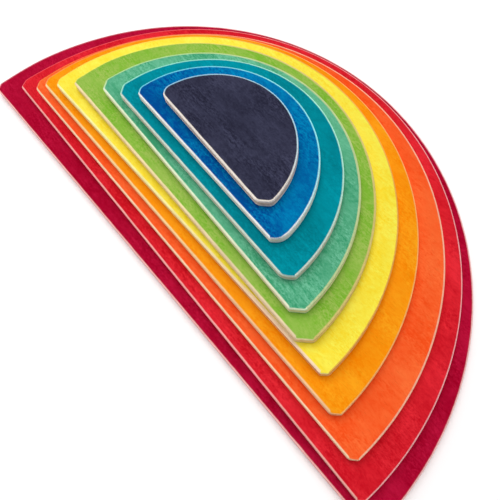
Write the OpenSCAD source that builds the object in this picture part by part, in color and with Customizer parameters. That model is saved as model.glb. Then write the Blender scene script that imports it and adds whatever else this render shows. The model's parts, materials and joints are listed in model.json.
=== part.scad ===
// Rainbow stacker: ten loose half-disc plywood boards that lie in a stack, the largest at
// the bottom. Each board is glued up from a dyed face veneer, a bare core and a dyed back
// veneer. The straight edges face -Y, and the stack rests on Z = 0 with the base board's
// middle over the origin.

/* [Plywood] */
// Thickness of the dyed face veneer on top of a board
face_t = 1.8; // [1:0.1:4]
// Thickness of the bare cross-grain core
core_t = 2.4; // [1:0.1:8]
// Thickness of the dyed back veneer under a board
back_t = 1.8; // [1:0.1:4]
// Width of the sanded arris round a board's top and bottom
arris = 0.6; // [0.2:0.1:1.7]

/* [Radii of the boards] */
// Radius of the crimson board, the base of the stack
crimson_r = 185; // [150:0.25:220]
// Radius of the red board
red_r = 171; // [140:0.25:200]
// Radius of the vermilion board
vermilion_r = 155.75; // [125:0.25:185]
// Radius of the amber board
amber_r = 141.25; // [115:0.25:170]
// Radius of the yellow board
yellow_r = 126.5; // [100:0.25:150]
// Radius of the lime board
lime_r = 111.75; // [90:0.25:135]
// Radius of the mint board
mint_r = 95.75; // [76:0.25:115]
// Radius of the teal board
teal_r = 80; // [65:0.25:98]
// Radius of the blue board
blue_r = 64.25; // [52:0.25:78]
// Radius of the navy board, the top of the stack
navy_r = 48.5; // [39:0.25:59]

/* [Lay of the boards] */
// Red board: shift along the base's edge, shift in from it, and turn in degrees
red_lay = [1.25, 9, -1.5]; // [-20:0.05:40]
// Vermilion board: shift along, shift in and turn
vermilion_lay = [1.25, 16.75, -1]; // [-20:0.05:40]
// Amber board: shift along, shift in and turn
amber_lay = [-4.75, 23, -0.7]; // [-20:0.05:50]
// Yellow board: shift along, shift in and turn
yellow_lay = [-7.5, 29.75, 0.1]; // [-20:0.05:60]
// Lime board: shift along, shift in and turn
lime_lay = [-8.75, 34.5, -1.6]; // [-20:0.05:60]
// Mint board: shift along, shift in and turn
mint_lay = [-5.25, 42.75, -2.8]; // [-20:0.05:70]
// Teal board: shift along, shift in and turn
teal_lay = [-4.75, 48.5, -2]; // [-20:0.05:80]
// Blue board: shift along, shift in and turn
blue_lay = [-6.25, 55.5, -1.9]; // [-20:0.05:90]
// Navy board: shift along, shift in and turn
navy_lay = [-7, 63, -3.3]; // [-20:0.05:100]

/* [Arcs of the boards] */
// Crimson board: how far the middle of its arc stands in from its straight edge
crimson_rise = 0; // [-4:0.25:4]
// Red board: middle of its arc in from its straight edge
red_rise = -0.25; // [-4:0.25:4]
// Vermilion board: middle of its arc in from its straight edge
vermilion_rise = -0.5; // [-4:0.25:4]
// Amber board: middle of its arc in from its straight edge
amber_rise = -1; // [-4:0.25:4]
// Yellow board: middle of its arc in from its straight edge
yellow_rise = -0.25; // [-4:0.25:4]
// Lime board: middle of its arc in from its straight edge
lime_rise = -0.5; // [-4:0.25:4]
// Mint board: middle of its arc in from its straight edge
mint_rise = -1.5; // [-4:0.25:4]
// Teal board: middle of its arc in from its straight edge
teal_rise = 1.25; // [-4:0.25:4]
// Blue board: middle of its arc in from its straight edge
blue_rise = 0; // [-4:0.25:4]
// Navy board: middle of its arc in from its straight edge
navy_rise = -1; // [-4:0.25:4]

/* [Corners of the boards] */
// Crimson board: length cut off the -X and the +X end of its straight edge, at 45 degrees
crimson_cuts = [4.5, 4.5]; // [2:0.25:12]
// Red board: cuts at the -X and the +X end
red_cuts = [5.5, 3]; // [2:0.25:12]
// Vermilion board: cuts at the -X and the +X end
vermilion_cuts = [5.25, 3.5]; // [2:0.25:12]
// Amber board: cuts at the -X and the +X end
amber_cuts = [4.5, 4]; // [2:0.25:12]
// Yellow board: cuts at the -X and the +X end
yellow_cuts = [4, 3.25]; // [2:0.25:12]
// Lime board: cuts at the -X and the +X end
lime_cuts = [3.25, 6.75]; // [2:0.25:12]
// Mint board: cuts at the -X and the +X end
mint_cuts = [5.75, 6.5]; // [2:0.25:12]
// Teal board: cuts at the -X and the +X end
teal_cuts = [5.5, 5]; // [2:0.25:12]
// Blue board: cuts at the -X and the +X end
blue_cuts = [3.75, 4.75]; // [2:0.25:12]
// Navy board: cuts at the -X and the +X end
navy_cuts = [4.25, 6]; // [2:0.25:12]

/* [Hidden] */
$fn = 96;
board_t = back_t + core_t + face_t;
base_lay = [0, 0, 0];
bare_wood = "#d8bda7";

// Name, dye colour, radius, lay, corner cuts and arc rise of each board, from the bottom up
boards = [
    ["crimson", "#af0731", crimson_r, base_lay, crimson_cuts, crimson_rise],
    ["red", "#d61d2a", red_r, red_lay, red_cuts, red_rise],
    ["vermilion", "#fb5d27", vermilion_r, vermilion_lay, vermilion_cuts, vermilion_rise],
    ["amber", "#fc930b", amber_r, amber_lay, amber_cuts, amber_rise],
    ["yellow", "#fde544", yellow_r, yellow_lay, yellow_cuts, yellow_rise],
    ["lime", "#90b649", lime_r, lime_lay, lime_cuts, lime_rise],
    ["mint", "#5cae83", mint_r, mint_lay, mint_cuts, mint_rise],
    ["teal", "#028796", teal_r, teal_lay, teal_cuts, teal_rise],
    ["blue", "#006eab", blue_r, blue_lay, blue_cuts, blue_rise],
    ["navy", "#35354a", navy_r, navy_lay, navy_cuts, navy_rise]
];
levels = [0 : len(boards) - 1];

function name(i) = boards[i][0];
function dye(i) = boards[i][1];
function radius(i) = boards[i][2];
function lay(i) = boards[i][3];
function cuts(i) = boards[i][4];
function rise(i) = boards[i][5];

// Half the straight edge of a board before its corners are cut
function half_edge(r, rise) = sqrt(r * r - rise * rise);

// Puts its children where board i lies, with z = 0 at the height above the board's underside
module on_board(i, height) {
    shift = lay(i);
    translate([shift[0], shift[1] - crimson_r / 2, i * board_t + height])
        rotate(shift[2])
            children();
}

// Half disc with both corners cut, its straight edge along X at y = 0
module outline(r, rise, cut) {
    end = half_edge(r, rise);
    intersection() {
        translate([0, rise])
            circle(r);
        polygon([
            [cut[0] - end, 0], [end - cut[1], 0],
            [end - cut[1] + 2 * r, 2 * r], [cut[0] - end - 2 * r, 2 * r]
        ]);
    }
}

// Section through a veneer from x = 0 out to its edge, with the top arris eased
module eased_section(reach, t) {
    polygon([[0, 0], [reach, 0], [reach, t - arris], [reach - arris, t], [0, t]]);
}

// Slab behind a straight eased edge that runs along X at y = 0
module eased_slab(reach, t) {
    translate([-reach, reach, 0])
        rotate([90, 0, 90])
            linear_extrude(2 * reach)
                mirror([1, 0])
                    eased_section(reach, t);
}

// Slab behind an eased corner cut that leaves the straight edge at x = start, on the +X side
module corner_slab(start, reach, t) {
    translate([start, 0, 0])
        rotate(45)
            eased_slab(reach, t);
}

// Half disc with its top arris eased all round
module veneer(r, rise, t, cut) {
    end = half_edge(r, rise);
    intersection() {
        translate([0, rise, 0])
            rotate_extrude()
                eased_section(r, t);
        eased_slab(2 * r, t);
        corner_slab(end - cut[1], 2 * r, t);
        mirror([1, 0, 0])
            corner_slab(end - cut[0], 2 * r, t);
    }
}

// Back veneer of board i, with its eased arris below
module back_veneer(i) {
    color(dye(i))
        on_board(i, back_t)
            mirror([0, 0, 1])
                veneer(radius(i), rise(i), back_t, cuts(i));
}

// Core of board i
module core(i) {
    color(bare_wood)
        on_board(i, back_t)
            linear_extrude(core_t)
                outline(radius(i), rise(i), cuts(i));
}

// Face veneer of board i
module face_veneer(i) {
    color(dye(i))
        on_board(i, back_t + core_t)
            veneer(radius(i), rise(i), face_t, cuts(i));
}

for (i = levels) {
    back_veneer(i);
    core(i);
    face_veneer(i);
}
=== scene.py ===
import json
import math

import bpy
import numpy as np
from mathutils import Matrix, Vector


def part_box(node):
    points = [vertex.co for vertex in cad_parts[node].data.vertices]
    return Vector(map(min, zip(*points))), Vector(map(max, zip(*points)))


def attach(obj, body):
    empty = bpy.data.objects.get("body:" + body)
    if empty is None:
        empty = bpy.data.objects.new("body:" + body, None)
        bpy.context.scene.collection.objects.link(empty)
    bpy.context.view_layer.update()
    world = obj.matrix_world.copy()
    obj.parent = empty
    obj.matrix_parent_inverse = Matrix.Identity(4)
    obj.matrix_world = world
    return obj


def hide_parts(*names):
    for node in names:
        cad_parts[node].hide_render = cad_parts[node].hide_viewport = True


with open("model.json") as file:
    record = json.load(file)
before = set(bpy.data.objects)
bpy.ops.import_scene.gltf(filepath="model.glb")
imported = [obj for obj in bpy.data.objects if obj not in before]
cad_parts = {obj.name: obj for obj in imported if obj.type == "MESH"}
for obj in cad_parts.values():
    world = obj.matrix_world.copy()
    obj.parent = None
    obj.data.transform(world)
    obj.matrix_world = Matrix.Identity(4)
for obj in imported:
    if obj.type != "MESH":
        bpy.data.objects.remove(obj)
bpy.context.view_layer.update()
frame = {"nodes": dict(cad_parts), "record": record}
scene = bpy.context.scene
scene.view_settings.view_transform = "Standard"

boardNames = [body[:-len("_board")] for body in frame["record"]["behaviour"]["bodies"]]  # bottom to top
print("frame:", len(frame["nodes"]), "nodes,", len(boardNames), "boards")


def paint(red, green, blue):  # a colour as it looks on screen, 0 to 255, made linear
    def linear(value):
        value /= 255
        return value / 12.92 if value <= 0.04045 else ((value + 0.055) / 1.055) ** 2.4
    return (linear(red), linear(green), linear(blue), 1.0)


def setSocket(tree, socket, value):  # links an output, or sets a plain value
    if isinstance(value, bpy.types.NodeSocket):
        tree.links.new(value, socket)
    else:
        socket.default_value = value


def addNode(tree, kind, sockets=None, **props):
    node = tree.nodes.new(kind)
    for key, value in props.items():
        setattr(node, key, value)
    for key, value in (sockets or {}).items():
        setSocket(tree, node.inputs[key], value)
    return node


def calc(tree, operation, a, b=0.0, c=0.0):
    return addNode(tree, "ShaderNodeMath", {0: a, 1: b, 2: c}, operation=operation).outputs[0]


def remap(tree, value, low, high, newLow=0.0, newHigh=1.0, curve="SMOOTHSTEP"):
    sockets = {"Value": value, "From Min": low, "From Max": high, "To Min": newLow, "To Max": newHigh}
    return addNode(tree, "ShaderNodeMapRange", sockets, interpolation_type=curve).outputs["Result"]


def mixColors(tree, how, amount, a, b):
    sockets = {0: amount, 6: a, 7: b}
    return addNode(tree, "ShaderNodeMix", sockets, data_type="RGBA", blend_type=how).outputs[2]


def newTree(name, kind, ins, outs):
    tree = bpy.data.node_groups.new(name, kind)
    for way, rows in (("INPUT", ins), ("OUTPUT", outs)):
        for label, socketType in rows:
            tree.interface.new_socket(label, in_out=way, socket_type="NodeSocket" + socketType)
    return tree, tree.nodes.new("NodeGroupInput").outputs, tree.nodes.new("NodeGroupOutput").inputs


# Camera, at the view of the picture that the part follows
cameraView = {
    "place": (0.15473, -0.1052, 0.31725),
    "right": (0.64253, 0.76055, -0.09339),
    "down": (0.67746, -0.62079, -0.39455),
    "focalShare": 581.57 / 500,  # focal length over the picture's width
    "sensor": 36.0,
    "clipStart": 0.01,
}


def makeCamera(view):
    camera = bpy.data.objects.new("stackCamera", bpy.data.cameras.new("stackCamera"))
    scene.collection.objects.link(camera)
    right = Vector(view["right"]).normalized()
    up = -Vector(view["down"])
    up = (up - right * up.dot(right)).normalized()
    back = right.cross(up)
    camera.matrix_world = Matrix.Translation(view["place"]) @ Matrix((right, up, back)).transposed().to_4x4()
    camera.data.sensor_width = view["sensor"]
    camera.data.lens = view["focalShare"] * view["sensor"]
    camera.data.clip_start = view["clipStart"]
    scene.camera = camera


makeCamera(cameraView)
print("camera set")


# Plywood: how every board is made up, in metres
plywood = {
    "topEase": 0.0006,      # sanded round on the top arris
    "topRim": 0.0012,       # flat strip inside it, where the sanding fades out
    "lowEase": 0.0008,      # rounder arris under a board
    "lowRim": 0.0004,
    "glueEase": 0.00012,    # small bevel where two plies meet
    "arcStep": 0.0022,      # length of one step along the arc
    "easeSteps": 6,
    "cornerSteps": 8,
    "roundRoom": 0.6,       # share of a corner's round that the arc's points leave free for it
    "mergeGap": 2e-6,       # a sheet's top, wall and foot are joined within this
    "creaseAngle": 28,      # degrees from which an edge stays sharp
}

# Corners, given in millimetres: the rounds beside the straight edge and beside the arc at each end,
# and how much of the arc's far end is sanded away, over what length
cornerShapes = {
    "crimson": {"far": (3.0, 3.0), "near": (2.2, 4.2), "trim": (1.2, 40)},
    "red": {"far": (2.3, 4.0), "near": (2.0, 4.0), "trim": (2.2, 130)},
    "vermilion": {"far": (3.0, 5.0), "near": (4.0, 2.0), "trim": (0.8, 25)},
    "amber": {"far": (3.0, 5.0), "near": (4.0, 2.0), "trim": (0.8, 25)},
    "yellow": {"far": (3.0, 5.0), "near": (2.0, 2.2), "trim": (0.8, 25)},
    "lime": {"far": (2.0, 2.4), "near": (3.0, 3.0), "trim": (1.4, 30)},
    "mint": {"far": (2.5, 4.0), "near": (2.0, 3.5), "trim": (0.8, 25)},
    "teal": {"far": (2.3, 4.0), "near": (8.0, 2.0), "trim": (0.7, 20)},
    "blue": {"far": (2.3, 5.0), "near": (2.0, 9.0), "trim": (0.6, 20)},
    "navy": {"far": (4.6, 6.0), "near": (5.0, 4.0), "trim": (0.4, 15)},
}


def halfDiscTree(build):
    sizes = ("Radius", "Rise", "Far Cut", "Near Cut", "Far Arc Round", "Near Arc Round", "Far Edge Round",
             "Near Edge Round", "Far Trim", "Trim Length", "Thickness", "Ease", "Glue Ease", "Rim", "Foot")
    rows = [(label, "Float") for label in sizes]
    rows += [("Place", "Vector"), ("Turn", "Float"), ("Underside", "Bool")]
    rows += [("Arc Points", "Int"), ("Material", "Material")]
    tree, given, made = newTree("halfDiscPly", "GeometryNodeTree", rows, [("Geometry", "Geometry")])
    index = addNode(tree, "GeometryNodeInputIndex").outputs[0]
    radius, rise, count = given["Radius"], given["Rise"], given["Arc Points"]

    def cutEnd(cut):  # half the straight edge, and the angle at which a 45 degree cut meets the arc
        square = calc(tree, "MULTIPLY", radius, radius)
        square = calc(tree, "SUBTRACT", square, calc(tree, "MULTIPLY", rise, rise))
        half = calc(tree, "SUBTRACT", calc(tree, "SQRT", square), cut)
        gap = calc(tree, "SUBTRACT", half, rise)
        over = calc(tree, "SUBTRACT", calc(tree, "MULTIPLY", half, half), square)
        under = calc(tree, "MULTIPLY_ADD", over, -2.0, calc(tree, "MULTIPLY", gap, gap))
        top = calc(tree, "MULTIPLY", calc(tree, "SUBTRACT", calc(tree, "SQRT", under), gap), 0.5)
        return half, calc(tree, "ARCSINE", calc(tree, "DIVIDE", calc(tree, "SUBTRACT", top, rise), radius))

    def atPoint(number):
        return calc(tree, "COMPARE", index, number, 0.5)

    # outline: arc points in turn, with room at both ends for the rounds, then the straight edge's ends
    nearHalf, nearAngle = cutEnd(given["Near Cut"])
    farHalf, farAngle = cutEnd(given["Far Cut"])
    farAngle = calc(tree, "SUBTRACT", math.pi, farAngle)
    room = build["roundRoom"]
    nearRoom = calc(tree, "DIVIDE", calc(tree, "MULTIPLY", given["Near Arc Round"], room), radius)
    farRoom = calc(tree, "DIVIDE", calc(tree, "MULTIPLY", given["Far Arc Round"], room), radius)
    last = calc(tree, "SUBTRACT", count, 1.0)
    start = calc(tree, "ADD", nearAngle, nearRoom)
    sweep = calc(tree, "SUBTRACT", calc(tree, "SUBTRACT", farAngle, farRoom), start)
    share = calc(tree, "DIVIDE", calc(tree, "SUBTRACT", index, 1.0), calc(tree, "SUBTRACT", count, 3.0))
    angle = calc(tree, "MULTIPLY_ADD", share, sweep, start)
    angle = calc(tree, "MINIMUM", calc(tree, "MAXIMUM", angle, start), calc(tree, "ADD", start, sweep))
    angle = calc(tree, "MULTIPLY_ADD", atPoint(0.0), calc(tree, "MULTIPLY", nearRoom, -1.0), angle)
    angle = calc(tree, "MULTIPLY_ADD", atPoint(last), farRoom, angle)
    atFar, atNear = atPoint(count), atPoint(calc(tree, "ADD", count, 1.0))
    onArc = calc(tree, "SUBTRACT", calc(tree, "SUBTRACT", 1.0, atFar), atNear)
    trimFrom = calc(tree, "SUBTRACT", farAngle, calc(tree, "DIVIDE", given["Trim Length"], radius))
    pull = remap(tree, angle, trimFrom, farAngle, 0.0, given["Far Trim"])
    arcReach = calc(tree, "MULTIPLY", calc(tree, "SUBTRACT", radius, pull), onArc)
    edgeX = calc(tree, "MULTIPLY", nearHalf, atNear)
    edgeX = calc(tree, "SUBTRACT", edgeX, calc(tree, "MULTIPLY", farHalf, atFar))
    x = calc(tree, "MULTIPLY_ADD", arcReach, calc(tree, "COSINE", angle), edgeX)
    y = calc(tree, "MULTIPLY_ADD", arcReach, calc(tree, "SINE", angle), calc(tree, "MULTIPLY", rise, onArc))
    point = addNode(tree, "ShaderNodeCombineXYZ", {"X": x, "Y": y}).outputs[0]
    ring = addNode(tree, "GeometryNodeCurvePrimitiveCircle", {"Resolution": calc(tree, "ADD", count, 2.0)})
    ring = addNode(tree, "GeometryNodeSetPosition", {"Geometry": ring.outputs["Curve"], "Position": point})

    # round off the four corners of the outline
    corner = calc(tree, "MULTIPLY", atPoint(0.0), given["Near Arc Round"])
    corner = calc(tree, "MULTIPLY_ADD", atPoint(last), given["Far Arc Round"], corner)
    corner = calc(tree, "MULTIPLY_ADD", atFar, given["Far Edge Round"], corner)
    corner = calc(tree, "MULTIPLY_ADD", atNear, given["Near Edge Round"], corner)
    ring = addNode(tree, "GeometryNodeFilletCurve", {
        "Curve": ring.outputs[0], "Count": build["cornerSteps"], "Radius": corner, "Limit Radius": True,
    }, mode="POLY")
    ring = addNode(tree, "GeometryNodeSetCurveNormal", {"Curve": ring.outputs[0]}, mode="Z_UP").outputs[0]
    tangent = addNode(tree, "GeometryNodeInputTangent").outputs[0]
    tangent = addNode(tree, "ShaderNodeSeparateXYZ", {0: tangent}).outputs
    outward = addNode(tree, "ShaderNodeCombineXYZ", {
        "X": tangent["Y"], "Y": calc(tree, "MULTIPLY", tangent["X"], -1.0)}).outputs[0]

    def storeOutward(shape, value):  # kept for the materials: which way the edge faces
        return addNode(tree, "GeometryNodeStoreNamedAttribute", {
            "Geometry": shape, "Name": "edgeFacing", "Value": value,
        }, data_type="FLOAT_VECTOR", domain="POINT").outputs[0]

    ring = storeOutward(ring, outward)

    # edge section: flat rim, eased arris, wall and the small bevel at the glue line
    ease, thick, glue = given["Ease"], given["Thickness"], given["Glue Ease"]
    bend = build["easeSteps"]
    inset = calc(tree, "ADD", ease, given["Rim"])
    share = calc(tree, "DIVIDE", calc(tree, "SUBTRACT", index, 1.0), float(bend))
    tilt = calc(tree, "MULTIPLY", share, math.pi / 2)
    atRim = calc(tree, "LESS_THAN", index, 0.5)
    atFoot = calc(tree, "GREATER_THAN", index, bend + 2.5)
    onWall = calc(tree, "GREATER_THAN", index, bend + 1.5)
    onRound = calc(tree, "SUBTRACT", calc(tree, "SUBTRACT", 1.0, atRim), onWall)
    curl = calc(tree, "MULTIPLY", ease, calc(tree, "SUBTRACT", calc(tree, "SINE", tilt), 1.0))
    out = calc(tree, "MULTIPLY", curl, onRound)
    out = calc(tree, "SUBTRACT", out, calc(tree, "MULTIPLY", inset, atRim))
    out = calc(tree, "SUBTRACT", out, calc(tree, "MULTIPLY", glue, atFoot))
    crown = calc(tree, "MULTIPLY_ADD", ease, calc(tree, "SUBTRACT", calc(tree, "COSINE", tilt), 1.0), thick)
    height = calc(tree, "MULTIPLY", crown, onRound)
    height = calc(tree, "MULTIPLY_ADD", thick, atRim, height)
    height = calc(tree, "MULTIPLY_ADD", glue, calc(tree, "SUBTRACT", onWall, atFoot), height)
    spot = addNode(tree, "ShaderNodeCombineXYZ", {"X": out, "Y": calc(tree, "MULTIPLY", height, -1.0)})
    section = addNode(tree, "GeometryNodeCurvePrimitiveLine").outputs[0]
    section = addNode(tree, "GeometryNodeResampleCurve", {"Curve": section, "Count": bend + 4}).outputs[0]
    section = addNode(tree, "GeometryNodeStoreNamedAttribute", {
        "Geometry": section, "Name": "edgeInset", "Value": calc(tree, "MULTIPLY", out, -1.0),
    }, data_type="FLOAT", domain="POINT").outputs[0]
    section = addNode(tree, "GeometryNodeSetPosition", {
        "Geometry": section, "Position": spot.outputs[0]}).outputs[0]
    band = addNode(tree, "GeometryNodeCurveToMesh", {"Curve": ring, "Profile Curve": section}).outputs[0]

    # top and bottom, filled inside the band
    def cap(back, level):
        normal = addNode(tree, "GeometryNodeInputNormal").outputs[0]
        shift = addNode(tree, "ShaderNodeVectorMath", {
            0: normal, "Scale": calc(tree, "MULTIPLY", back, -1.0)}, operation="SCALE").outputs[0]
        inner = addNode(tree, "GeometryNodeSetPosition", {"Geometry": ring, "Offset": shift}).outputs[0]
        face = addNode(tree, "GeometryNodeFillCurve", {"Curve": inner}, mode="NGONS").outputs[0]
        face = addNode(tree, "GeometryNodeStoreNamedAttribute", {
            "Geometry": face, "Name": "edgeInset", "Value": back,
        }, data_type="FLOAT", domain="POINT").outputs[0]
        facing = addNode(tree, "GeometryNodeSampleIndex", {
            "Geometry": ring, "Value": outward, "Index": index,
        }, data_type="FLOAT_VECTOR", domain="POINT").outputs[0]
        face = storeOutward(face, facing)
        lift = addNode(tree, "ShaderNodeCombineXYZ", {"Z": level}).outputs[0]
        return addNode(tree, "GeometryNodeTransform", {"Geometry": face, "Translation": lift}).outputs[0]

    top = cap(inset, thick)
    foot = addNode(tree, "GeometryNodeFlipFaces", {"Mesh": cap(glue, 0.0)}).outputs[0]
    join = tree.nodes.new("GeometryNodeJoinGeometry")
    for part in (band, top, foot):
        tree.links.new(part, join.inputs[0])
    sheet = addNode(tree, "GeometryNodeMergeByDistance", {
        "Geometry": join.outputs[0], "Distance": build["mergeGap"]})
    sheet = addNode(tree, "GeometryNodeSetShadeSmooth", {
        "Geometry": sheet.outputs[0], "Shade Smooth": True}, domain="FACE")
    crease = addNode(tree, "GeometryNodeInputMeshEdgeAngle").outputs["Unsigned Angle"]
    crease = addNode(tree, "FunctionNodeCompare", {
        "A": crease, "B": math.radians(build["creaseAngle"])}, operation="GREATER_THAN")
    sheet = addNode(tree, "GeometryNodeSetShadeSmooth", {
        "Geometry": sheet.outputs[0], "Selection": crease.outputs[0], "Shade Smooth": False}, domain="EDGE")

    # an underside sheet is the same one turned over
    over = addNode(tree, "GeometryNodeTransform", {"Geometry": sheet.outputs[0], "Scale": (1.0, 1.0, -1.0)})
    over = addNode(tree, "GeometryNodeFlipFaces", {"Mesh": over.outputs[0]})
    lift = addNode(tree, "ShaderNodeCombineXYZ", {"Z": thick}).outputs[0]
    over = addNode(tree, "GeometryNodeTransform", {"Geometry": over.outputs[0], "Translation": lift})
    chosen = addNode(tree, "GeometryNodeSwitch", {
        "Switch": given["Underside"], "False": sheet.outputs[0], "True": over.outputs[0],
    }, input_type="GEOMETRY")
    turn = addNode(tree, "ShaderNodeCombineXYZ", {"Z": given["Turn"]}).outputs[0]
    level = addNode(tree, "ShaderNodeCombineXYZ", {"Z": given["Foot"]}).outputs[0]
    place = addNode(tree, "ShaderNodeVectorMath", {0: given["Place"], 1: level}, operation="ADD").outputs[0]
    laid = addNode(tree, "GeometryNodeTransform", {
        "Geometry": chosen.outputs[0], "Translation": place, "Rotation": turn})
    real = addNode(tree, "GeometryNodeRealizeInstances", {"Geometry": laid.outputs[0]})
    finished = addNode(tree, "GeometryNodeSetMaterial", {
        "Geometry": real.outputs[0], "Material": given["Material"]})
    tree.links.new(finished.outputs[0], made["Geometry"])
    return tree


def runTree(name, tree, values):
    piece = bpy.data.objects.new(name, bpy.data.meshes.new(name))
    scene.collection.objects.link(piece)
    modifier = piece.modifiers.new("shape", "NODES")
    modifier.node_group = tree
    sockets = {row.name: row.identifier for row in tree.interface.items_tree if row.in_out == "INPUT"}
    for label, value in values.items():
        modifier[sockets[label]] = value
    bpy.context.view_layer.update()
    done = piece.evaluated_get(bpy.context.evaluated_depsgraph_get())
    mesh = bpy.data.meshes.new_from_object(done)
    piece.modifiers.remove(modifier)
    piece.data = mesh
    mesh.name = name
    return piece


def measureBoard(board):  # reads a board's size and lay from its solids
    mesh = frame["nodes"][board + "_core"].data
    points = [Vector((v.co.x, v.co.y)) for v in mesh.vertices]
    walls = [p.vertices for p in mesh.polygons if abs(p.normal.z) < 0.5]
    sides = [(points[a], points[b]) for face in walls for a, b in zip(face, face[1:])]
    start, end = max(sides, key=lambda side: (side[1] - side[0]).length)  # the straight edge
    if start.x > end.x:
        start, end = end, start
    along = (end - start).normalized()
    inward = Vector((-along.y, along.x))
    local = np.array([((p - start).dot(along), (p - start).dot(inward)) for p in points])
    arc = local[local[:, 1] > 0.001]  # every other corner lies on the arc's circle
    rows = np.column_stack((2 * arc, np.ones(len(arc))))
    middle, rise, rest = np.linalg.lstsq(rows, (arc ** 2).sum(axis=1), rcond=None)[0]
    radius = math.sqrt(rest + middle ** 2 + rise ** 2)
    center = start + along * middle
    halfEdge = math.sqrt(radius ** 2 - rise ** 2)
    levels = [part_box(board + "_back")[0].z]
    levels += [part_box(board + ply)[1].z for ply in ("_back", "_core", "_face")]
    return {
        "radius": radius,
        "rise": rise,
        "farCut": halfEdge - middle,
        "nearCut": halfEdge - ((end - start).length - middle),
        "place": (center.x, center.y, 0.0),
        "turn": math.atan2(along.y, along.x),
        "levels": levels,
    }


# Noises of the wood's figure: scale along, across and through the grain, detail, roughness and twist
woodNoise = {
    "cloud": ((16, 34, 30), 2.0, 0.5, 0.6),
    "mottle": ((120, 200, 180), 3.0, 0.7, 0.8),
    "streak": ((55, 640, 300), 2.0, 0.6, 0.4),
    "fine": ((560, 1100, 800), 2.0, 0.7, 0.5),
    "patch": ((30, 60, 50), 1.0, 0.5, 0.5),
    "pore": ((240, 2600, 900), 1.0, 0.5, 0.0),
}
woodFigure = {
    "start": (0.37, 0.19, 0.53),                          # away from the noises' own origin
    "fineShare": 0.85, "streakShare": 0.45,               # what the fibres are made of
    "patchSpan": (-0.12, 0.12, 0.45, 1.45),               # streaks come and go
    "grainSpan": (-0.2, 0.2), "poreSpan": (0.12, 0.25),   # noise levels from none to full
}


# Figure of the wood along X: dye taken up in a slow drift and clouds, streaks, fine fibres and pores
def plyFigureGroup(noises, values):
    rows = [("Vector", "Vector"), ("Drift", "Vector")]
    rows += [(label, "Float") for label in ("Cloud", "Mottle", "Fibre")]
    outs = [("Tone", "Float"), ("Grain", "Float"), ("Pore", "Float")]
    tree, given, made = newTree("plyFigure", "ShaderNodeTree", rows, outs)
    spread = addNode(tree, "ShaderNodeMapping", {
        "Vector": given["Vector"], "Location": values["start"]}).outputs[0]

    def grain(name):
        scale, detail, rough, twist = noises[name]
        mapped = addNode(tree, "ShaderNodeMapping", {"Vector": spread, "Scale": scale}).outputs[0]
        noise = addNode(tree, "ShaderNodeTexNoise", {
            "Vector": mapped, "Scale": 1.0, "Detail": detail, "Roughness": rough, "Distortion": twist})
        return calc(tree, "SUBTRACT", noise.outputs["Fac"], 0.5)

    fibre = calc(tree, "MULTIPLY", grain("streak"), values["streakShare"])
    fibre = calc(tree, "MULTIPLY_ADD", grain("fine"), values["fineShare"], fibre)
    fibre = calc(tree, "MULTIPLY", fibre, remap(tree, grain("patch"), *values["patchSpan"]))
    drift = addNode(tree, "ShaderNodeVectorMath", {
        0: given["Vector"], 1: given["Drift"]}, operation="DOT_PRODUCT")
    tone = calc(tree, "ADD", drift.outputs["Value"], 0.5)
    tone = calc(tree, "MULTIPLY_ADD", grain("cloud"), given["Cloud"], tone)
    tone = calc(tree, "MULTIPLY_ADD", grain("mottle"), given["Mottle"], tone)
    tone = calc(tree, "MULTIPLY_ADD", fibre, given["Fibre"], tone)
    tree.links.new(remap(tree, tone, 0.0, 1.0, curve="LINEAR"), made["Tone"])
    tree.links.new(remap(tree, fibre, *values["grainSpan"]), made["Grain"])
    tree.links.new(remap(tree, grain("pore"), *values["poreSpan"]), made["Pore"])
    return tree


# Sanding: how far an edge faces one way, from -1 to 1, where one width or wood gives way to the next
sanding = {
    "arcTurn": (-0.97, -0.7), "farTurn": (-0.95, -0.45), "cutTurn": (1.1, 1.35),
    "farWood": (-0.9, -0.4), "rimSpan": 0.8,
    "broadSway": 140.0, "smallSway": 1300.0,    # scales of the unevenness
    "wornStart": 0.02, "wornStop": 0.006,       # over what length a worn strip sets in and ends, in metres
}
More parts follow.
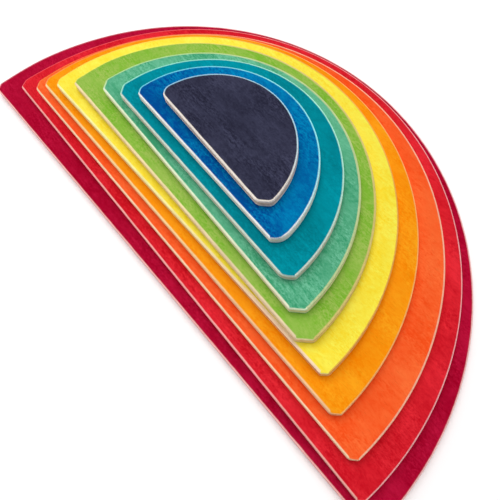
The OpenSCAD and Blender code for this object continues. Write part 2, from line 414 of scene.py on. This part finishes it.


# Sanded arris: the dye thins out to bare wood in an uneven line, of its own width along the straight edge,
# the arc, the far end and the near cut, and in a worn strip beside part of the straight edge. Arc and Far turn
# from the straight edge's wood to the arc's and the far end's, whose colours are partly the wood's own tone
# and partly painted light and shade by which way the edge faces
def sandedEdgeGroup(values):
    rows = [("Vector", "Vector"), ("Facing", "Vector")]
    rows += [(label, "Float") for label in (
        "Inset", "Edge Width", "Arc Width", "Far Width", "Cut Width", "Worn Width", "Worn From", "Worn To",
        "Rim From", "Fade", "Ragged")]
    outs = [("Bare", "Float"), ("Arc", "Float"), ("Far", "Float")]
    tree, given, made = newTree("sandedEdge", "ShaderNodeTree", rows, outs)
    broad = addNode(tree, "ShaderNodeTexNoise", {
        "Vector": given["Vector"], "Scale": values["broadSway"], "Detail": 1.0})
    small = addNode(tree, "ShaderNodeTexNoise", {
        "Vector": given["Vector"], "Scale": values["smallSway"], "Detail": 2.0})
    sway = calc(tree, "ADD", broad.outputs["Fac"], small.outputs["Fac"])
    sway = calc(tree, "MULTIPLY", calc(tree, "SUBTRACT", sway, 1.0), given["Ragged"])
    facing = addNode(tree, "ShaderNodeSeparateXYZ", {0: given["Facing"]}).outputs
    width = remap(tree, facing["Y"], *values["arcTurn"], given["Edge Width"], given["Arc Width"])
    width = remap(tree, facing["X"], *values["farTurn"], given["Far Width"], width)
    nearCut = calc(tree, "SUBTRACT", facing["X"], facing["Y"])  # most at the cut of the near corner
    width = remap(tree, nearCut, *values["cutTurn"], width, given["Cut Width"])
    line = calc(tree, "ADD", width, sway)
    low = calc(tree, "SUBTRACT", line, given["Fade"])
    high = calc(tree, "ADD", line, given["Fade"])
    bare = remap(tree, given["Inset"], low, high, 1.0, 0.0)
    place = addNode(tree, "ShaderNodeSeparateXYZ", {0: given["Vector"]}).outputs
    line = calc(tree, "ADD", given["Worn Width"], sway)
    worn = remap(tree, place["Y"], calc(tree, "SUBTRACT", line, given["Fade"]), line, 1.0, 0.0)
    start = calc(tree, "ADD", given["Worn From"], values["wornStart"])
    start = remap(tree, place["X"], given["Worn From"], start)
    stop = calc(tree, "SUBTRACT", given["Worn To"], values["wornStop"])
    stop = remap(tree, place["X"], stop, given["Worn To"], 1.0, 0.0)
    worn = calc(tree, "MULTIPLY", worn, calc(tree, "MULTIPLY", start, stop))
    tree.links.new(calc(tree, "MAXIMUM", bare, worn), made["Bare"])
    end = calc(tree, "ADD", given["Rim From"], values["rimSpan"])
    tree.links.new(remap(tree, facing["Y"], given["Rim From"], end), made["Arc"])
    tree.links.new(remap(tree, facing["X"], *values["farWood"], 1.0, 0.0), made["Far"])
    return tree


# Cut edges: scales of their streaks and specks, noise levels from none to full, and how far an edge faces
# forward where the straight edge ends
cutEdge = {
    "scaleStreak": (90, 90, 2600), "spanStreak": (0.32, 0.68),
    "scaleSpeck": (700, 700, 1400), "spanSpeck": (0.36, 0.64),
    "straightTurn": (-0.95, -0.8),
}


# Cut edge of a ply: streaks where the cut runs with the grain, specks where it crosses the grain. Near grows
# along the straight edge towards its near end, as the mask for the near-end colour with its painted light and
# shade
def plyEdgeGroup(values):
    rows = [("Vector", "Vector"), ("Facing", "Vector"), ("Cross", "Float"),
            ("Near From", "Float"), ("Near To", "Float")]
    outs = [("Streak", "Float"), ("Speck", "Float"), ("End", "Float"), ("Near", "Float")]
    tree, given, made = newTree("plyEdge", "ShaderNodeTree", rows, outs)
    for mark in ("Streak", "Speck"):
        mapped = addNode(tree, "ShaderNodeMapping", {
            "Vector": given["Vector"], "Scale": values["scale" + mark]}).outputs[0]
        noise = addNode(tree, "ShaderNodeTexNoise", {"Vector": mapped, "Scale": 1.0, "Detail": 3.0})
        tree.links.new(remap(tree, noise.outputs["Fac"], *values["span" + mark]), made[mark])
    facing = addNode(tree, "ShaderNodeSeparateXYZ", {0: given["Facing"]}).outputs
    ahead = calc(tree, "MULTIPLY", facing["X"], facing["X"])
    tree.links.new(calc(tree, "ABSOLUTE", calc(tree, "SUBTRACT", ahead, given["Cross"])), made["End"])
    along = addNode(tree, "ShaderNodeSeparateXYZ", {0: given["Vector"]}).outputs["X"]
    straight = remap(tree, facing["Y"], *values["straightTurn"], 1.0, 0.0)
    near = remap(tree, along, given["Near From"], given["Near To"])
    tree.links.new(calc(tree, "MULTIPLY", near, straight), made["Near"])
    return tree


plyFigure = plyFigureGroup(woodNoise, woodFigure)
sandedEdge = sandedEdgeGroup(sanding)
plyEdge = plyEdgeGroup(cutEdge)

# Each board's dye where it took up most and least, how strongly its figure shows, its drift across the board
# in tone per metre, where the rim's wood starts (-1 at the straight edge, 1 at the top of the arc), the bare
# wood of its straight edge, its arc's rim, its far end and its core, and the sanded widths of edge, arc, far
# end and near cut in mm; the rim's and far end's colours are partly the wood's own tone and partly painted
# light and shade by which way the edge faces. Near is another colour at the straight edge's near end, partly
# the wood's own tone and partly painted light and shade of the walls there, over a span in mm from the edge's
# middle, and worn is a bare strip beside that edge: its width, start and stop in mm
dyes = {
    "crimson": {
        "deep": (161, 0, 38), "light": (193, 20, 62), "figure": 0.6, "drift": (0.0, 0.0), "rimFrom": -0.5,
        "edge": (255, 188, 183), "rim": (255, 204, 202), "far": (222, 130, 142), "core": (242, 168, 160),
        "sanded": (0.9, 0.8, 1.1, 0.3)},
    "red": {
        "deep": (202, 18, 34), "light": (236, 46, 58), "figure": 0.55, "drift": (0.0, 0.0), "rimFrom": -0.5,
        "edge": (255, 176, 170), "rim": (255, 184, 186), "far": (246, 84, 96), "core": (246, 148, 140),
        # red's dark near core over this span is partly brown wood and partly painted contact shadow
        "near": {"span": (104, 118), "edge": (242, 170, 160), "core": (146, 86, 74)},
        "sanded": (0.9, 0.6, 0.9, 0.3)},
    "vermilion": {
        "deep": (249, 80, 26), "light": (255, 114, 56), "figure": 0.5, "drift": (0.0, 0.0), "rimFrom": -0.5,
        "edge": (255, 220, 180), "rim": (255, 190, 160), "far": (255, 140, 84), "core": (255, 180, 148),
        "sanded": (0.9, 0.85, 0.7, 0.3)},
    "amber": {
        "deep": (251, 138, 2), "light": (255, 167, 28), "figure": 0.7, "drift": (0.0, 0.0), "rimFrom": -0.5,
        "edge": (255, 220, 160), "rim": (255, 186, 112), "far": (255, 156, 84), "core": (254, 176, 122),
        "near": {"span": (-20, 85), "edge": (246, 200, 150), "core": (254, 200, 166)},
        "sanded": (1.15, 0.65, 1.0, 0.25)},
    "yellow": {
        "deep": (252, 221, 40), "light": (255, 248, 96), "figure": 0.4, "drift": (0.0, 0.0), "rimFrom": -0.9,
        "edge": (255, 246, 168), "rim": (240, 176, 84), "far": (255, 226, 96), "core": (255, 204, 136),
        "near": {"span": (-20, 85), "edge": (255, 222, 188), "core": (235, 154, 80)},
        "worn": (2.1, 54, 106), "sanded": (1.3, 0.8, 0.8, 0.3)},
    "lime": {
        "deep": (122, 182, 48), "light": (164, 194, 92), "figure": 0.7, "drift": (0.0, 0.0), "rimFrom": -0.8,
        "edge": (248, 226, 174), "rim": (222, 202, 124), "far": (244, 238, 100), "core": (255, 212, 144),
        "near": {"span": (-20, 85), "edge": (236, 214, 174), "core": (255, 214, 168)},
        "sanded": (1.3, 1.2, 0.9, 0.5)},
    "mint": {
        "deep": (62, 158, 114), "light": (114, 194, 156), "figure": 0.8, "drift": (0.0, 3.0), "rimFrom": -0.5,
        "edge": (240, 252, 216), "rim": (202, 216, 156), "far": (190, 230, 160), "core": (255, 236, 180),
        "near": {"span": (-20, 85), "edge": (240, 240, 208), "core": (255, 226, 178)},
        "sanded": (1.05, 1.2, 1.1, 0.55)},
    "teal": {
        "deep": (0, 124, 138), "light": (0, 152, 169), "figure": 0.55, "drift": (0.0, 2.0), "rimFrom": 0.2,
        "edge": (218, 230, 214), "rim": (176, 242, 220), "far": (160, 240, 216), "core": (218, 202, 178),
        "sanded": (0.9, 0.85, 1.05, 0.35)},
    "blue": {
        "deep": (0, 76, 150), "light": (0, 137, 190), "figure": 0.7, "drift": (1.5, 9.0), "rimFrom": 0.1,
        "edge": (252, 253, 249), "rim": (156, 244, 250), "far": (120, 226, 246), "core": (250, 240, 216),
        "sanded": (0.8, 0.8, 0.95, 0.25)},
    "navy": {
        "deep": (38, 38, 56), "light": (65, 66, 89), "figure": 0.75, "drift": (0.0, 0.0), "rimFrom": 0.3,
        "edge": (252, 240, 228), "rim": (180, 232, 250), "far": (160, 210, 236), "core": (218, 192, 172),
        "sanded": (0.9, 0.7, 1.0, 0.75)},
}
noWear, noSpan = (0, 0, 0), (0, 1)
finish = {
    "cloud": 1.5, "mottle": 1.3, "fibre": 3.2,      # how strongly the figure shows in the dye
    "woodStep": 0.41,                               # no two boards are cut from the same wood
    "pore": 0.2, "poreShade": 0.55,                 # how strongly the pores show, and how dark they are
    "fade": 0.0003, "ragged": 0.00025,              # how soft and uneven the sanded line is
    "lowWidth": 0.0002,                             # the dye stays on the arris under a board
    "veneerContrast": 0.1, "coreContrast": 0.16,    # of the streaks and specks on the cut edges
    "endShade": 0.97, "speckDepth": 1.5,            # end grain is darker, and its specks are deeper
    "dyedRough": (0.64, 0.52), "bareRough": 0.14,   # low and high grain, and what bare wood adds
    "coreRough": (0.78, 0.66),
    "specular": 0.01, "grainBump": 0.00003, "dyedBump": 0.5, "coreBump": 0.4,
}


def shade(color, factor):
    return tuple(min(1.0, channel * factor) for channel in color[:3]) + (1.0,)


# The board's own frame: X along its straight edge, zero at the edge's middle
def boardCoordinates(tree, size):
    coords = addNode(tree, "ShaderNodeTexCoord").outputs["Object"]
    x, y, _ = size["place"]
    return addNode(tree, "ShaderNodeMapping", {
        "Vector": coords, "Location": (x, y, 0.0), "Rotation": (0.0, 0.0, size["turn"])},
        vector_type="TEXTURE").outputs[0]


def addGroup(tree, group, sockets):
    node = addNode(tree, "ShaderNodeGroup", {}, node_tree=group)
    for label, value in sockets.items():
        setSocket(tree, node.inputs[label], value)
    return node.outputs


def edgeColor(tree, coords, facing, pale, contrast, cross, span=noSpan):
    edge = addGroup(tree, plyEdge, {
        "Vector": coords, "Facing": facing, "Cross": cross,
        "Near From": span[0] / 1000, "Near To": span[1] / 1000})
    long = mixColors(tree, "MIX", edge["Streak"], shade(pale, 1 - contrast), shade(pale, 1 + contrast / 3))
    clear = finish["endShade"]
    speck = shade(pale, clear - finish["speckDepth"] * contrast)
    end = mixColors(tree, "MIX", edge["Speck"], shade(pale, clear), speck)
    return mixColors(tree, "MIX", edge["End"], long, end), edge


# Wood of the straight edge, which on some boards turns towards the near end to another colour that is partly
# the wood's own tone and partly painted light and shade
def straightWoodAndNearLight(tree, coords, facing, values, part, contrast, cross):
    near = values.get("near")
    span = near["span"] if near else noSpan
    wood, cut = edgeColor(tree, coords, facing, paint(*values[part]), contrast, cross, span)
    if near:
        other, _ = edgeColor(tree, coords, facing, paint(*near[part]), contrast, cross, span)
        wood = mixColors(tree, "MIX", cut["Near"], wood, other)
    return wood, cut["Streak"]


def newSurface(name):
    material = bpy.data.materials.new(name)
    material.use_nodes = True
    surface = material.node_tree.nodes["Principled BSDF"]
    surface.inputs["Specular IOR Level"].default_value = finish["specular"]
    return material, material.node_tree, surface.inputs


def edgeAttribute(tree, name, output):
    return addNode(tree, "ShaderNodeAttribute", attribute_name=name).outputs[output]


def dyedVeneer(board, size, underside):
    values = dyes[board]
    material, tree, surface = newSurface(board + ("DyedBack" if underside else "DyedFace"))
    coords = boardCoordinates(tree, size)
    apart = finish["woodStep"] * boardNames.index(board)
    start = (0.0, size["radius"] / 2, apart)  # the drift is even half way in
    middle = addNode(tree, "ShaderNodeVectorMath", {0: coords, 1: start}, operation="SUBTRACT").outputs[0]
    figure = addGroup(tree, plyFigure, {
        "Vector": middle, "Drift": (*values["drift"], 0.0),
        "Cloud": finish["cloud"], "Mottle": finish["mottle"], "Fibre": finish["fibre"] * values["figure"]})
    deep, light = paint(*values["deep"]), paint(*values["light"])
    color = mixColors(tree, "MIX", figure["Tone"], deep, light)
    pore = calc(tree, "MULTIPLY", figure["Pore"], finish["pore"])
    color = mixColors(tree, "MIX", pore, color, shade(deep, finish["poreShade"]))

    inset, facing = edgeAttribute(tree, "edgeInset", "Fac"), edgeAttribute(tree, "edgeFacing", "Vector")
    widths = (finish["lowWidth"],) * 4 if underside else [width / 1000 for width in values["sanded"]]
    wornWidth, wornFrom, wornTo = (length / 1000 for length in values.get("worn", noWear))
    sanded = addGroup(tree, sandedEdge, {
        "Vector": coords, "Inset": inset, "Facing": facing,
        "Fade": finish["fade"], "Ragged": finish["ragged"],
        "Edge Width": widths[0], "Arc Width": widths[1], "Far Width": widths[2], "Cut Width": widths[3],
        "Worn Width": 0.0 if underside else wornWidth, "Worn From": wornFrom, "Worn To": wornTo,
        "Rim From": values["rimFrom"]})
    bare = sanded["Bare"]
    contrast = finish["veneerContrast"]
    edge, _ = straightWoodAndNearLight(tree, coords, facing, values, "edge", contrast, 0.0)
    # the arc's rim and the far end's colours: partly the wood's own tone, partly painted light and shade by
    # which way the edge faces
    rim, _ = edgeColor(tree, coords, facing, paint(*values["rim"]), contrast, 0.0)
    far, _ = edgeColor(tree, coords, facing, paint(*values["far"]), contrast, 0.0)
    wood = mixColors(tree, "MIX", sanded["Far"], mixColors(tree, "MIX", sanded["Arc"], edge, rim), far)
    tree.links.new(mixColors(tree, "MIX", bare, color, wood), surface["Base Color"])

    rough = remap(tree, figure["Grain"], 0.0, 1.0, *finish["dyedRough"], "LINEAR")
    tree.links.new(calc(tree, "MULTIPLY_ADD", bare, finish["bareRough"], rough), surface["Roughness"])
    height = calc(tree, "SUBTRACT", figure["Grain"], figure["Pore"])
    bump = addNode(tree, "ShaderNodeBump", {
        "Height": height, "Strength": finish["dyedBump"], "Distance": finish["grainBump"]})
    tree.links.new(bump.outputs[0], surface["Normal"])
    return material


def bareCore(board, size):
    material, tree, surface = newSurface(board + "BareCore")
    coords = boardCoordinates(tree, size)
    facing = edgeAttribute(tree, "edgeFacing", "Vector")
    wood, streak = straightWoodAndNearLight(tree, coords, facing, dyes[board], "core", finish["coreContrast"], 1.0)
    tree.links.new(wood, surface["Base Color"])
    tree.links.new(remap(tree, streak, 0.0, 1.0, *finish["coreRough"], "LINEAR"), surface["Roughness"])
    bump = addNode(tree, "ShaderNodeBump", {
        "Height": streak, "Strength": finish["coreBump"], "Distance": finish["grainBump"]})
    tree.links.new(bump.outputs[0], surface["Normal"])
    return material


halfDisc = halfDiscTree(plywood)
sheets = (  # piece, solid it stands for, its arris and the strip inside it
    ("BackVeneer", "_back", "lowEase", "lowRim"),
    ("CoreSheet", "_core", "glueEase", "topRim"),
    ("FaceVeneer", "_face", "topEase", "topRim"),
)
for board in boardNames:
    size, corners = measureBoard(board), cornerShapes[board]
    looks = (dyedVeneer(board, size, True), bareCore(board, size), dyedVeneer(board, size, False))
    for ply, (suffix, node, ease, rim) in enumerate(sheets):
        foot, head = size["levels"][ply], size["levels"][ply + 1]
        piece = runTree(board + suffix, halfDisc, {
            "Radius": size["radius"], "Rise": size["rise"],
            "Far Cut": size["farCut"], "Near Cut": size["nearCut"],
            "Far Edge Round": corners["far"][0] / 1000, "Far Arc Round": corners["far"][1] / 1000,
            "Near Edge Round": corners["near"][0] / 1000, "Near Arc Round": corners["near"][1] / 1000,
            "Far Trim": corners["trim"][0] / 1000, "Trim Length": corners["trim"][1] / 1000,
            "Thickness": head - foot, "Foot": foot, "Underside": suffix == "BackVeneer",
            "Ease": plywood[ease], "Rim": plywood[rim], "Glue Ease": plywood["glueEase"],
            "Place": size["place"], "Turn": size["turn"],
            "Arc Points": round(math.pi * size["radius"] / plywood["arcStep"]),
            "Material": looks[ply],
        })
        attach(piece, board + "_board")
        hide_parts(board + node)
    print(board, "board: radius", round(size["radius"] * 1000, 2), "mm, turned",
          round(math.degrees(size["turn"]), 2), "cut", round(size["farCut"] * 1000, 2),
          "and", round(size["nearCut"] * 1000, 2), "mm")


# Floor, world and lamps
stage = {
    "floorHalf": 1.2, "floorColor": 0.93, "floorRough": 0.9,
    "floorLift": 0.16, "rimLift": 0.8, "liftSpan": (0.4, 1.1),  # the floor glows more towards its rim
    "world": 0.32,
}
lamps = {  # place, size, and how much of a white floor's light each soft lamp gives, all aimed at the stack
    "overhead": {"place": (-0.3, 0.3, 2.4), "size": 1.5, "level": 0.305},
    "keyBack": {"place": (-1.4, 0.5, 2.4), "size": 1.5, "level": 0.2},
    "fillRight": {"place": (0.9, 1.1, 1.5), "size": 1.2, "level": 0.16},
    "frontLeft": {"place": (-1.0, -1.1, 0.62), "size": 0.7, "level": 0.09},
}


def makeFloor(values):
    half = values["floorHalf"]
    mesh = bpy.data.meshes.new("floor")
    square = [(-half, -half, 0), (half, -half, 0), (half, half, 0), (-half, half, 0)]
    mesh.from_pydata(square, [], [(0, 1, 2, 3)])
    floor = bpy.data.objects.new("floor", mesh)
    scene.collection.objects.link(floor)
    material = bpy.data.materials.new("paleFloor")
    material.use_nodes = True
    tree = material.node_tree
    surface = tree.nodes["Principled BSDF"]
    level = values["floorColor"]
    surface.inputs["Base Color"].default_value = (level, level, level, 1.0)
    surface.inputs["Roughness"].default_value = values["floorRough"]
    surface.inputs["Specular IOR Level"].default_value = 0.0
    surface.inputs["Emission Color"].default_value = (1.0, 1.0, 1.0, 1.0)
    rays = addNode(tree, "ShaderNodeLightPath").outputs
    seen = calc(tree, "ADD", rays["Is Camera Ray"], rays["Is Glossy Ray"])
    seen = calc(tree, "ADD", seen, rays["Is Transmission Ray"])
    coords = addNode(tree, "ShaderNodeTexCoord").outputs["Object"]
    away = addNode(tree, "ShaderNodeVectorMath", {0: coords}, operation="LENGTH").outputs["Value"]
    lift = remap(tree, away, *values["liftSpan"], values["floorLift"], values["rimLift"])  # no horizon shows
    tree.links.new(calc(tree, "MULTIPLY", seen, lift), surface.inputs["Emission Strength"])
    mesh.materials.append(material)


def makeWorld(values):
    world = bpy.data.worlds.new("studio")
    scene.world = world
    world.use_nodes = True
    tree = world.node_tree
    back = tree.nodes["Background"]
    back.inputs["Color"].default_value = (1.0, 1.0, 1.0, 1.0)
    rays = addNode(tree, "ShaderNodeLightPath").outputs
    tree.links.new(remap(tree, rays["Is Camera Ray"], 0.0, 1.0, values["world"], 1.0, "LINEAR"),
                   back.inputs["Strength"])


def makeLamp(name, values):
    lamp = bpy.data.lights.new(name, "AREA")
    lamp.shape, lamp.size = "SQUARE", values["size"]
    place = Vector(values["place"])
    lamp.energy = values["level"] * math.pi ** 2 * place.length ** 3 / place.z
    piece = bpy.data.objects.new(name, lamp)
    scene.collection.objects.link(piece)
    piece.location = place
    piece.rotation_euler = (-place).to_track_quat("-Z", "Y").to_euler()


makeFloor(stage)
makeWorld(stage)
for name, values in lamps.items():
    makeLamp(name, values)
print("floor, world and", len(lamps), "lamps set")

bpy.context.view_layer.update()
